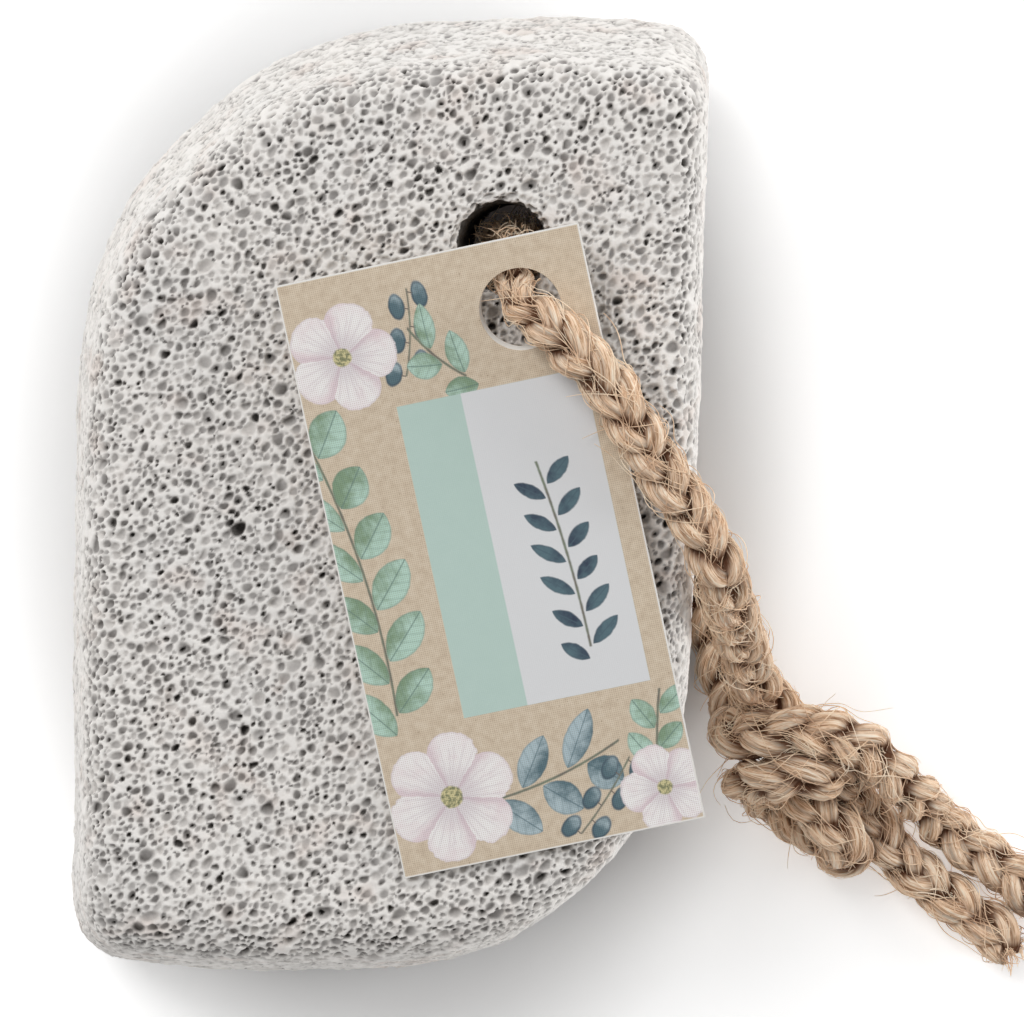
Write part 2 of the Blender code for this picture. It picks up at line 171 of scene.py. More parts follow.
def set_light():
    """A white studio and square soft boxes that shine on the stone."""
    world = bpy.data.worlds.new("studio")
    world.use_nodes = True
    background = world.node_tree.nodes["Background"]
    background.inputs["Color"].default_value = (1.0, 1.0, 1.0, 1.0)
    background.inputs["Strength"].default_value = WORLD_STRENGTH
    bpy.context.scene.world = world
    bpy.context.scene.view_settings.view_transform = "Standard"
    for name, towards, distance, size, power in LAMPS:
        data = bpy.data.lights.new(name, "AREA")
        data.size = size
        data.energy = power
        lamp = link(bpy.data.objects.new(name, data))
        away = Vector(towards).normalized()
        lamp.location = away * distance
        lamp.rotation_euler = away.to_track_quat("Z", "Y").to_euler()


set_camera()
set_light()


# ---------------- materials


class Value:
    """A shader socket that takes part in sums."""

    def __init__(self, finish, socket):
        self.finish = finish
        self.socket = socket

    def maths(self, operation, *others):
        return self.finish.maths(operation, self, *others)

    def __add__(self, other):
        return self.maths("ADD", other)

    def __sub__(self, other):
        return self.maths("SUBTRACT", other)

    def __rsub__(self, other):
        return self.finish.maths("SUBTRACT", other, self)

    def __mul__(self, other):
        return self.maths("MULTIPLY", other)

    def __truediv__(self, other):
        return self.maths("DIVIDE", other)

    def __pow__(self, other):
        return self.maths("POWER", other)

    def __abs__(self):
        return self.maths("ABSOLUTE")

    __radd__ = __add__
    __rmul__ = __mul__

    def most(self, other):
        return self.maths("MAXIMUM", other)


class Finish:
    """A material, and the nodes that its surface is worked out with."""

    def __init__(self, name, roughness):
        self.material = bpy.data.materials.new(name)
        self.material.use_nodes = True
        self.tree = self.material.node_tree
        self.shader = self.tree.nodes["Principled BSDF"]
        self.shader.inputs["Roughness"].default_value = roughness

    def plug(self, socket, value):
        """Links a socket to another one, or sets it to a number, a vector or a colour."""
        if isinstance(value, Value):
            value = value.socket
        if isinstance(value, bpy.types.NodeSocket):
            self.tree.links.new(value, socket)
        elif socket.type == "RGBA":
            socket.default_value = (*value, 1.0)
        else:
            socket.default_value = value

    def node(self, kind, settings=None, stops=None, inputs=None, output=0):
        """Adds a node: its settings and a ramp's stops first, then its sockets by name or number."""
        made = self.tree.nodes.new(kind)
        for name, value in (settings or {}).items():
            setattr(made, name, value)
        if stops:
            ramp = made.color_ramp
            while len(ramp.elements) < len(stops):
                ramp.elements.new(0.5)
            for element, (place, colour) in zip(ramp.elements, stops):
                element.position = place
                element.color = (*colour, 1.0)
        for name, value in (inputs or {}).items():
            self.plug(made.inputs[name], value)
        return made.outputs[output]

    def maths(self, operation, *values):
        made = self.node("ShaderNodeMath", {"operation": operation}, inputs=dict(enumerate(values)))
        return Value(self, made)

    def step(self, value, low, high):
        """0 below low and 1 above high, with a soft change between."""
        settings = {"interpolation_type": "SMOOTHSTEP"}
        made = self.node("ShaderNodeMapRange", settings, inputs={0: value, 1: low, 2: high})
        return Value(self, made)

    def mix(self, share, first, second, blend="MIX"):
        """The first colour mixed with the second, which are a Mix node's sockets 6 and 7."""
        settings = {"data_type": "RGBA", "blend_type": blend}
        return self.node("ShaderNodeMix", settings, inputs={0: share, 6: first, 7: second}, output=2)

    def ramp(self, value, stops):
        return self.node("ShaderNodeValToRGB", stops=stops, inputs={"Fac": value})

    def attribute(self, name, output):
        return self.node("ShaderNodeAttribute", {"attribute_name": name}, output=output)

    def noise(self, where, scale, detail=2.0, roughness=0.5):
        inputs = {"Vector": where, "Scale": scale, "Detail": detail, "Roughness": roughness}
        return Value(self, self.node("ShaderNodeTexNoise", inputs=inputs))

    def place(self):
        """Object coordinates."""
        return self.node("ShaderNodeTexCoord", output=3)

    def parts(self, vector):
        """A vector's three numbers."""
        first = self.node("ShaderNodeSeparateXYZ", inputs={0: vector})
        return [Value(self, socket) for socket in first.node.outputs]

    def scaled(self, vector, factors):
        settings = {"operation": "MULTIPLY"}
        return self.node("ShaderNodeVectorMath", settings, inputs={0: vector, 1: factors})

    def bump(self, height, distance, strength=1.0):
        inputs = {"Height": height, "Distance": distance, "Strength": strength}
        self.plug(self.shader.inputs["Normal"], self.node("ShaderNodeBump", inputs=inputs))

    def colour(self, value):
        self.plug(self.shader.inputs["Base Color"], value)


def pumice_finish():
    """Pale volcanic foam: chalky ridges, with painted shade that greys the bowls and turns the deep holes
    near-black.
    """
    finish = Finish("pumice", 0.95)
    finish.shader.inputs["Specular IOR Level"].default_value = 0.15
    where = finish.place()
    # Painted shade stored on the vertices: grey in the pores' bowls, near-black in deep holes and in the
    # drilled hole
    hollow = Value(finish, finish.attribute("hollow", 2))
    broken = finish.noise(where, 2600.0, 3.0, 0.6)
    depth = hollow + (broken - 0.5) * 0.16
    stone = finish.ramp(depth, (
        (0.0, (0.88, 0.85, 0.815)), (0.22, (0.71, 0.68, 0.65)), (0.5, (0.42, 0.40, 0.385)),
        (0.8, (0.15, 0.14, 0.13)), (1.0, (0.02, 0.018, 0.016)),
    ))
    warmth = finish.step(finish.noise(where, 190.0), 0.52, 0.74)
    stone = finish.mix(warmth * 0.55, stone, (0.93, 0.84, 0.80), "MULTIPLY")
    dust = finish.step(finish.noise(where, 90.0, 3.0), 0.4, 0.7)
    stone = finish.mix(dust * 0.4, stone, (0.93, 0.945, 0.96), "MULTIPLY")
    finish.colour(stone)
    grain = finish.noise(where, 7000.0, 2.0, 0.6) + finish.noise(where, 2600.0) * 1.6
    finish.bump(grain, 0.05 * MM, 0.8)
    return finish.material


def jute_finish():
    """Tan yarn whose fibres run along it; the attribute turns with the yarn and is drawn out along it."""
    finish = Finish("jute", 0.8)
    finish.shader.inputs["Specular IOR Level"].default_value = 0.25
    fibre = finish.attribute("fibre", 1)
    strands = finish.noise(fibre, 5.5, 3.0, 0.65)
    hairs = finish.noise(finish.scaled(fibre, (2.6, 2.6, 1.4)), 9.0, 2.0, 0.6)
    tone = strands * 0.62 + hairs * 0.38
    jute = finish.ramp(tone, (
        (0.32, (0.25, 0.115, 0.05)), (0.42, (0.60, 0.375, 0.225)), (0.50, (0.93, 0.685, 0.49)),
        (0.60, (1.0, 0.90, 0.75)),
    ))
    patches = finish.step(finish.noise(finish.place(), 160.0), 0.35, 0.7)
    jute = finish.mix(patches * 0.5, jute, (0.97, 0.88, 0.78), "MULTIPLY")
    # Painted shade in the creases between yarns, in the valleys between fibre bundles and where the knot's
    # turns crowd each other
    crease = Value(finish, finish.attribute("crease", 2))
    jute = finish.mix(crease * 0.95, jute, (0.13, 0.058, 0.028), "MULTIPLY")
    finish.colour(jute)
    finish.bump(tone, 0.20 * MM)
    return finish.material


def loose_fibre_finish():
    """Single fibres, paler and glossier than the yarn."""
    finish = Finish("loose_fibre", 0.6)
    tone = finish.noise(finish.place(), 320.0)
    finish.colour(finish.ramp(tone, (
        (0.3, (0.64, 0.41, 0.26)), (0.5, (0.93, 0.70, 0.49)), (0.7, (1.0, 0.86, 0.68)),
    )))
    return finish.material


def floor_finish():
    """A pale floor that glows with painted light away from the stone and is painted dark under it as shade.
    """
    finish = Finish("floor", 0.9)
    where = finish.place()
    tone = finish.noise(where, 6.0)
    pale = finish.ramp(tone, ((0.0, (0.93, 0.93, 0.93)), (1.0, (0.96, 0.96, 0.96))))
    x, y, _ = finish.parts(where)
    out = (x * x + y * y * 0.44) ** 0.5
    # Painted shade: a brown-black disc under the stone, seen through its hole
    finish.colour(finish.mix(finish.step(out, *DARK_ENDS), (0.045, 0.024, 0.015), pale))
    # Painted light: the floor glows, dim near the stone as a painted contact shadow and bright further out
    lit = finish.mix(finish.step(out, *GLOW_STARTS), (0.03, 0.03, 0.03), (1.0, 1.0, 1.0))
    finish.plug(finish.shader.inputs["Emission Color"], lit)
    finish.shader.inputs["Emission Strength"].default_value = FLOOR_GLOW
    return finish.material


# ---------------- the card's print

PANEL = ((-6.25, -16.1), (13.2, 16.55))  # label panel: two opposite corners from the tag's middle
PANEL_SPLIT = 0.4  # left of this the panel is mint
EDGE_SOFT = 0.10  # millimetres over which a printed edge changes

SAGE = (0.23, 0.34, 0.22)
MINT = (0.50, 0.70, 0.60)
SLATE = (0.10, 0.17, 0.20)
BLUE_GREY = (0.45, 0.56, 0.60)
INK = (0.035, 0.05, 0.085)
STEM = (0.17, 0.085, 0.11)
BLUSH = (0.84, 0.70, 0.73)
WHITE = (0.93, 0.91, 0.90)
LILAC = (0.50, 0.44, 0.50)


def cos_sin(degrees):
    return math.cos(math.radians(degrees)), math.sin(math.radians(degrees))


class Print:
    """Motifs printed over each other on the card, each a mask with its own watercolour tint."""

    def __init__(self, finish, x, y, ground):
        self.finish = finish
        self.x = x
        self.y = y
        self.colour = ground
        spot = finish.node("ShaderNodeCombineXYZ", inputs={0: x, 1: y})
        self.wash = finish.noise(spot, 0.55, 4.0, 0.6)
        self.grain = finish.noise(spot, 2.3, 2.0, 0.6)
        self.rough = (finish.noise(spot, 1.4) - 0.5) * 0.5

    def lay(self, mask, colour, pale, share):
        """Prints the colour through the mask, washed towards the pale one."""
        tint = self.finish.mix(share, colour, pale)
        self.colour = self.finish.mix(mask, self.colour, tint)

    def along(self, start, turn, bend):
        """Distances along and across a line from start, which bends sideways by bend times its square."""
        dx = self.x - start[0]
        dy = self.y - start[1]
        cos, sin = cos_sin(turn)
        along = dx * cos + dy * sin
        across = dy * cos - dx * sin - along * along * bend
        return along, across

    def inside(self, value, soft=EDGE_SOFT):
        """1 where the value is above nothing and 0 below, with a soft edge."""
        return self.finish.step(value, -soft, soft)

    def stem(self, along, across, length, width=0.13):
        """A thin stem whose width wavers."""
        on_stem = self.inside(length * 0.5 - abs(along - length * 0.5))
        self.lay(self.inside(width + self.rough * 0.2 - abs(across)) * on_stem, STEM, SAGE, self.wash)

    def repeats(self, along, across, spacing, shift, count):
        """Places along a stem, those on its left shifted by a share of the spacing.

        Gives whether a point is on the left, the number of its place, whether that place counts,
        and how far past its start the point is.
        """
        on_left = self.inside(across, 0.01)
        shifted = along + on_left * (shift * spacing)
        number = (shifted / spacing).maths("FLOOR")
        counts = self.inside(number + 0.5, 0.01) * self.inside(count - 0.5 - number, 0.01)
        return on_left, number, counts, shifted - number * spacing

    def sprig(self, start, turn, bend, length, spacing, leaf_size, colours, opening):
        """A curved stem with pairs of leaves, worked out once and repeated along it."""
        colour, pale = colours
        pairs = length // spacing
        length = (pairs - 0.2) * spacing
        along, across = self.along(start, turn, bend)
        self.stem(along, across, length)
        on_left, pair, whole, within = self.repeats(along, across, spacing, 0.42, pairs)
        side = abs(across)
        cos, sin = cos_sin(opening)
        leaf_along = within * cos + side * sin - 0.35
        leaf_across = side * cos - within * sin
        leaf_length, leaf_width = leaf_size
        chance = abs((pair * 2.4 + on_left * 1.7 + start[0]).maths("SINE"))
        share = leaf_along / (leaf_length * (0.80 + chance * 0.2))
        bow = (share * (1.0 - share)).most(0.0)
        half = bow ** 0.75 * (2.2 * leaf_width) + self.rough * bow * 1.6
        depth = half - abs(leaf_across)
        mask = self.inside(depth - 0.11) * whole
        tone = self.finish.step(self.wash + leaf_across * 0.14 + chance * 0.22 + share * 0.12, 0.40, 0.90)
        self.lay(mask, colour, pale, tone)
        self.lay(mask * self.inside(0.20 - depth, 0.16) * 0.6, colour, SLATE, 0.45)
        slanted = (leaf_along * 6.0 - abs(leaf_across) * 5.0).maths("SINE").most(0.0)
        self.lay(mask * slanted ** 3.0 * 0.22, SLATE, colour, self.grain)
        rib = self.inside(0.06 - abs(leaf_across), 0.05) * mask
        self.lay(rib * 0.7, SLATE, colour, 0.4)

    def blossom(self, centre, petals, radius, turn):
        """A round blossom of even petals that lap over each other about a dotted middle."""
        dx = self.x - centre[0]
        dy = self.y - centre[1]
        out = (dx * dx + dy * dy) ** 0.5
        sector = 2.0 * math.pi / petals
        angle = dy.maths("ARCTAN2", dx) + (math.radians(turn) + 8.0 * math.pi)
        angle = angle + self.rough * 0.25
        aside = (angle.maths("MODULO", sector) - sector / 2) / (sector / 2)
        within = abs(aside)
        rim = radius * (1.0 - 0.24 * within ** 2.6) + self.rough * 0.14 * radius
        shape = self.inside(rim - out)
        share = out / radius
        lap = self.finish.step(aside, 0.35, 1.0) * (1.25 - share * 0.7)
        blush = self.finish.step(self.wash * 0.8 + lap * 0.55 + share * 0.25, 0.45, 1.05)
        self.lay(shape, WHITE, BLUSH, blush)
        self.lay(shape * lap * 0.42, LILAC, BLUSH, self.wash)
        base = self.inside(0.42 - share, 0.22) * shape
        self.lay(base * 0.5, LILAC, BLUSH, 0.35)
        streak = (within * 17.0 + self.rough * 5.0).maths("SINE").most(0.0) ** 3.0
        self.lay(streak * shape * self.inside(0.8 - share, 0.15) * 0.28, LILAC, BLUSH, 0.35)
        edge = self.inside(out - rim + 0.16, 0.12) * shape
        self.lay(edge * 0.45, LILAC, BLUSH, self.wash)
        heart = self.inside(radius * 0.17 + self.rough * 0.5 - out, 0.12)
        self.lay(heart, (0.24, 0.25, 0.14), (0.66, 0.60, 0.33), self.finish.step(self.grain, 0.4, 0.6))

    def berries(self, start, turn, bend, length, spacing, size):
        """Dark oval buds along both sides of a fine stem."""
        buds = length // spacing
        along, across = self.along(start, turn, bend)
        self.stem(along, across, (buds - 0.4) * spacing, 0.09)
        _, _, whole, past = self.repeats(along, across, spacing, 0.5, buds)
        within = past - spacing / 2
        aside = abs(across) - size * 1.5
        oval = size + self.rough * 0.3 - ((within * within) * 0.45 + aside * aside) ** 0.5
        mask = self.inside(oval) * whole
        tone = self.finish.step(self.wash + within * 0.25, 0.40, 0.95)
        self.lay(mask, SLATE, BLUE_GREY, tone)
        self.lay(mask * self.inside(0.16 - oval, 0.12) * 0.7, INK, SLATE, 0.3)
        stalk = self.inside(0.06 - abs(within), 0.04) * self.inside(size * 0.6 - abs(across), 0.05)
        self.lay(stalk * whole, STEM, SAGE, 0.3)

    def panel(self):
        """The label panel, mint on the left and pale on the right."""
        (left, low), (right, high) = PANEL
        box = (abs(self.x - (left + right) / 2) - (right - left) / 2).most(
            abs(self.y - (low + high) / 2) - (high - low) / 2
        )
        mask = self.inside(0.0 - box, 0.05)
        self.lay(mask, (0.475, 0.615, 0.56), (0.51, 0.65, 0.595), self.wash)
        pale = mask * self.inside(self.x - PANEL_SPLIT, 0.05)
        self.lay(pale, (0.72, 0.725, 0.735), (0.735, 0.74, 0.75), self.wash)


def card_finish():
    """Kraft-coloured card with a printed front, a bare back and a pale cut edge.

    The attribute holds each point's place on the card in millimetres from its middle.
    """
    finish = Finish("card", 0.55)
    finish.shader.inputs["Specular IOR Level"].default_value = 0.35
    x, y, z = finish.parts(finish.attribute("on_card", 1))
    spot = finish.node("ShaderNodeCombineXYZ", inputs={0: x, 1: y})
    speckle = finish.noise(spot, 1.1, 3.0, 0.6)
    ground = finish.ramp(speckle, (
        (0.30, (0.61, 0.50, 0.375)), (0.5, (0.68, 0.57, 0.435)), (0.7, (0.735, 0.63, 0.495)),
    ))
    specks = finish.step(finish.noise(spot, 3.0, 1.0), 0.70, 0.76)
    ground = finish.mix(specks * 0.45, ground, (0.30, 0.20, 0.12))
    art = Print(finish, x, y, ground)
    art.berries((-4.6, 19.4), 68.0, 0.02, 11.0, 3.4, 0.85)
    art.sprig((1.4, 18.2), 142.0, -0.03, 8.5, 4.2, (4.4, 1.7), (SAGE, MINT), 40.0)
    art.sprig((-12.9, -14.5), 86.0, 0.006, 33.0, 5.4, (6.6, 2.3), (SAGE, MINT), 42.0)
    art.sprig((-5.0, -25.0), 4.0, 0.013, 15.5, 5.0, (5.8, 2.1), (SLATE, BLUE_GREY), 50.0)
    art.sprig((12.4, -23.4), 80.0, -0.01, 7.5, 3.6, (4.2, 1.6), (SAGE, MINT), 40.0)
    art.berries((3.0, -30.2), 40.0, 0.012, 11.0, 3.6, 0.85)
    art.blossom((-9.2, -23.8), 6, 6.7, 12.0)
    art.blossom((-10.6, 22.6), 5, 5.6, 40.0)
    art.blossom((12.4, -27.2), 5, 4.6, 0.0)
    dots = ((x + y) * 15.0).maths("SINE") * ((x - y) * 15.0).maths("SINE")
    art.colour = finish.mix(dots.most(0.0) * 0.8, art.colour, (0.60, 0.53, 0.48), "MULTIPLY")
    art.panel()
    art.sprig((8.0, -11.5), 90.0, 0.004, 21.0, 3.4, (4.0, 1.05), (INK, SLATE), 52.0)
    core = (0.84, 0.82, 0.78)
    bare = finish.mix(speckle, (0.52, 0.42, 0.30), (0.60, 0.50, 0.37))
    half = TAG_THICKNESS / MM / 2
    past_edge = (abs(x) - TAG_WIDTH / MM / 2).most(abs(y) - TAG_LENGTH / MM / 2)
    # The print stops 0.15 mm short of the edge, leaving a band of the card's pale core colour: a painted
    # highlight that stands in for the lit cut edge
    front = finish.step(z, half - 0.08, half - 0.04) * art.inside(-0.15 - past_edge, 0.03)
    back = finish.step(0.0 - z, half - 0.08, half - 0.04)
    card = finish.mix(back, core, bare)
    finish.colour(finish.mix(front, card, art.colour))
    tooth = finish.noise(spot, 9.0, 2.0, 0.6) + dots * 0.25
    finish.bump(tooth, 0.012 * MM, 0.6)
    return finish.material


# ---------------- shared helpers


def curve_through(points, per_span=24):
    """A dense smooth curve through the points, from one end to the other."""
    p = np.asarray(points, float)
    p = np.vstack([2 * p[0] - p[1], p, 2 * p[-1] - p[-2]])
    dense = []
    for a, b, c, d in zip(p, p[1:], p[2:], p[3:]):
        for t in np.linspace(0.0, 1.0, per_span, endpoint=False):
            dense.append(
                0.5 * (2 * b + (c - a) * t + (2 * a - 5 * b + 4 * c - d) * t**2
                       + (3 * b - a - 3 * c + d) * t**3)
            )
    dense.append(p[-2])
    return np.array(dense)


def lengths_along(points):
    steps = np.linalg.norm(np.diff(points, axis=0), axis=1)
    return np.concatenate([[0.0], np.cumsum(steps)])


def read_at(stations, values, where):
    """Values known at the stations, read at other places between them."""
    return np.stack([np.interp(where, stations, column) for column in values.T], axis=1)


def evenly(points, step):
    along = lengths_along(points)
    return read_at(along, points, np.linspace(0.0, along[-1], round(along[-1] / step) + 1))


def unit(vectors):
    return vectors / np.linalg.norm(vectors, axis=-1, keepdims=True)


def tipped():
    """How the finished stone lies: turned up on one side, its lowest corner on the surface."""
    axis = Vector((LIFT_TOWARDS.y, -LIFT_TOWARDS.x, 0.0))
    middle = Matrix.Translation((0.0, 0.0, STONE_THICKNESS / 2))
    turn = middle @ Matrix.Rotation(TIP_ANGLE, 4, axis) @ middle.inverted()
    under = turn @ Vector((*HOLE_CENTRE, 0.0))
    return Matrix.Translation((0.0, 0.0, UNDER_HEIGHT - under.z)) @ turn


def mesh_object(name, bm, *materials):
    mesh = bpy.data.meshes.new(name)
    bm.to_mesh(mesh)
    bm.free()
    for material in materials:
        mesh.materials.append(material)
    return link(bpy.data.objects.new(name, mesh))


def shade_smooth(obj):
    obj.data.polygons.foreach_set("use_smooth", np.ones(len(obj.data.polygons), bool))


def with_modifiers(obj):
    """A new mesh with the object's modifiers applied."""
    graph = bpy.context.evaluated_depsgraph_get()
    return bpy.data.meshes.new_from_object(obj.evaluated_get(graph))


def curve_mesh(shape, material):
    """A new mesh of a curve's shape."""
    drawn = link(bpy.data.objects.new(shape.name + "_drawn", shape))
    mesh = with_modifiers(drawn)
    bpy.data.objects.remove(drawn)
    mesh.name = shape.name
    mesh.materials.clear()
    mesh.materials.append(material)
    return mesh


def vectors(items, field):
    """One field of every item, such as a mesh's vertices, as rows of three numbers."""
    values = np.empty(len(items) * 3, np.float32)
    items.foreach_get(field, values)
    return values.reshape(-1, 3).astype(float)


def coordinates(mesh):
    return vectors(mesh.vertices, "co")


def vertex_normals(mesh):
    return vectors(mesh.vertex_normals, "vector")


def move_vertices(mesh, places):
    mesh.vertices.foreach_set("co", places.astype(np.float32).ravel())


def store(mesh, name, values):
    """Keeps a number or a vector for each vertex, for a material to read."""
    kind, field = ("FLOAT", "value") if values.ndim == 1 else ("FLOAT_VECTOR", "vector")
    made = mesh.attributes.new(name, kind, "POINT")
    made.data.foreach_set(field, values.astype(np.float32).ravel())


# ---------------- cord

YARNS = 3
PLAIT_REPEAT = 12.6 * MM  # length in which a yarn crosses over and back
YARN_SWING = 1.42 * MM  # to each side
YARN_WEAVE = 0.88 * MM  # up and down
YARN_RADIUS = 1.22 * MM
YARN_TWIST = 0.42  # turns of the fibres in each 10 mm of cord
YARN_SIDES = 40
RING_STEP = 0.32 * MM
YARN_SWELL = 1.12  # a yarn's radius at its lumps, as a share of its own
YARN_REST = 0.05 * MM  # lowest point of a yarn
CREASE_STARTS = 0.93  # share of the plait's half width inside which painted shade darkens a yarn
CREASE_FADE = 0.28
LINE_STEP = 0.2 * MM
UP_EVENED = 9.0 * MM  # length over which the plait's face is turned upwards
HOLE_WIDTHS = ((21.0, 0.78), (26.0, 1.0))  # millimetres from the hole's middle, share of the plait's width

CROWD_APART = 9.0 * MM  # turns of the cord at least this far apart along it get painted shade from each other
CROWD_STARTS = 3.7 * MM
CROWD_FADE = 0.8 * MM


def cord_width(from_middle):
    """The cord's width as a share of its full one."""
    return np.interp(from_middle, *zip(*CORD_WIDTHS))


def ease_knot(points, middle, held_from, held_to):
    """Pushes the knot's turns apart until no two come closer than the cord is thick.

    The points from held_from to held_to, which pass through the stone, stay where they are.
    """
    points = points.copy()
    order = np.arange(len(points))
    apart = np.abs(order[:, None] - order) > EASE_NEIGHBOURS
    outside = np.maximum(held_from - order, order - held_to + 1)
    free = np.clip(outside / EASE_RAMP, 0.0, 1.0)
    free[[0, -1]] = 0.0
    reach = CORD_DIAMETER / MM / 2 * cord_width((order - middle) * ROUTE_STEP)
    clearance = reach[:, None] + reach + EASE_GAP
    for _ in range(EASE_ROUNDS):
        between = points[:, None] - points
        distance = np.linalg.norm(between, axis=2) + np.eye(len(points))
        near = apart & (distance < clearance)
        push = np.where(near, EASE_PUSH * (clearance - distance) / distance, 0.0)
        move = (between * push[..., None]).sum(axis=1)
        move[1:-1] += EASE_SOFTNESS * ((points[:-2] + points[2:]) / 2 - points[1:-1])
        points += move * free[:, None]
        points[:, 2] = np.maximum(points[:, 2], CORD_REST / MM)
    return points


def cord_path():
    """The cord's whole centre line in metres, front tail first, and the length at the hole's middle."""
    front = evenly(curve_through(FRONT_ROUTE), ROUTE_STEP)[::-1]
    back = evenly(curve_through(BACK_ROUTE), ROUTE_STEP)
    middle = len(front) - 1
    held_from = middle - round(FRONT_HELD / ROUTE_STEP)
    held_to = middle + round(BACK_HELD / ROUTE_STEP)
    path = ease_knot(np.vstack([front, back[1:]]), middle, held_from, held_to)
    return curve_through(path, 6) * MM, lengths_along(path)[middle] * MM


class Route:
    """The cord's centre line with the directions across and out of the plait's broad face."""

    def __init__(self, path, middle):
        self.middle = middle
        self.points = evenly(path, LINE_STEP)
        self.along = lengths_along(self.points)
        self.whole = self.along[-1]
        self.forward = unit(np.gradient(self.points, axis=0))
        self.out = self.carried_normals()
        self.turn_face_up()
        self.across = np.cross(self.forward, self.out)

    def carried_normals(self):
        """Normals carried along the line without twisting about it."""
        normal = np.cross(self.forward[0], (0.0, 1.0, 0.0))
        carried = []
        for direction in self.forward:
            normal = normal - direction * normal.dot(direction)
            normal = normal / np.linalg.norm(normal)
            carried.append(normal)
        return np.array(carried)

    def turn_face_up(self):
        """Turns the normals gently about the line so that the plait's broad face looks up."""
        aside = np.cross(self.forward, self.out)
        level = 1.0 - self.forward[:, 2] ** 2
        wanted = np.exp(1j * np.arctan2(aside[:, 2], self.out[:, 2])) * level**2
        reach = round(3 * UP_EVENED / LINE_STEP)
        window = np.exp(-np.linspace(-3.0, 3.0, 2 * reach + 1) ** 2 / 2)
        padded = np.pad(wanted, reach, mode="edge")
        turn = np.angle(np.convolve(padded, window, mode="valid"))[:, None]
        self.out = self.out * np.cos(turn) + aside * np.sin(turn)

    def at(self, stations):
        """Centre, forward, out and across at lengths along the cord."""
        parts = (self.points, self.forward, self.out, self.across)
        centre, *directions = (read_at(self.along, part, stations) for part in parts)
        return centre, *(unit(direction) for direction in directions)

    def width_share(self, stations):
        """The plait's width as a share of its full one; it is squeezed in the holes."""
        return np.interp(np.abs(stations - self.middle) / MM, *zip(*HOLE_WIDTHS))

    def crowding(self, stations, places):
        """How close points on the cord lie to one of its other turns, from 0 to 1."""
        other, along = self.points[::5], self.along[::5]
        squares = np.sum(places**2, axis=1)[:, None] + np.sum(other**2, axis=1) - 2 * places @ other.T
        elsewhere = np.abs(stations[:, None] - along) > CROWD_APART
        nearest = np.sqrt(np.maximum(np.where(elsewhere, squares, 1.0).min(axis=1), 0.0))
        return np.clip((CROWD_STARTS - nearest) / CROWD_FADE, 0.0, 1.0)

    def yarn_offset(self, stations, index):
        """How far one yarn's middle is across and out from the cord's."""
        wander = 0.30 * np.sin(stations / (5.1 * MM) + 2.0 * index)
        wander = wander + 0.2 * np.sin(stations / (2.3 * MM) + index)
        turn = 2 * np.pi * (stations / PLAIT_REPEAT + index / YARNS) + wander
        width = self.width_share(stations) * (1.0 + 0.09 * np.sin(stations / (3.7 * MM) + 4.0 * index))
        return YARN_SWING * np.sin(turn) * width, YARN_WEAVE * np.sin(2 * turn) * width

    def yarn(self, stations, index):
        """Centres of one yarn of the plait."""
        centre, _, out, across = self.at(stations)
        swing, weave = self.yarn_offset(stations, index)
        return centre + across * swing[:, None] + out * weave[:, None]

    def on_yarn(self, stations, index, turn, radius):
        """Points at angles about one yarn's middle, at a distance from it."""
        nudge = 0.1 * MM
        forward = unit(self.yarn(stations + nudge, index) - self.yarn(stations - nudge, index))
        _, _, out, _ = self.at(stations)
        up = unit(out - forward * np.sum(out * forward, axis=1, keepdims=True))
        side = np.cross(forward, up)
        around = up * np.cos(turn)[:, None] + side * np.sin(turn)[:, None]
        return self.yarn(stations, index) + around * radius[:, None]

    def on_cord(self, stations, turn, lift):
        """Points at angles about the cord's middle, lifted off its outermost yarn."""
        centre, _, out, across = self.at(stations)
        aside, aloft = np.cos(turn), np.sin(turn)
        reach = np.zeros(len(stations))
        radius = YARN_SWELL * YARN_RADIUS * self.width_share(stations)
        for index in range(YARNS):
            swing, weave = self.yarn_offset(stations, index)
            along = swing * aside + weave * aloft
            inside = np.maximum(radius**2 - swing**2 - weave**2 + along**2, 0.0)
            reach = np.maximum(reach, along + np.sqrt(inside))
        reach = (reach + lift)[:, None]
        return centre + (across * aside[:, None] + out * aloft[:, None]) * reach


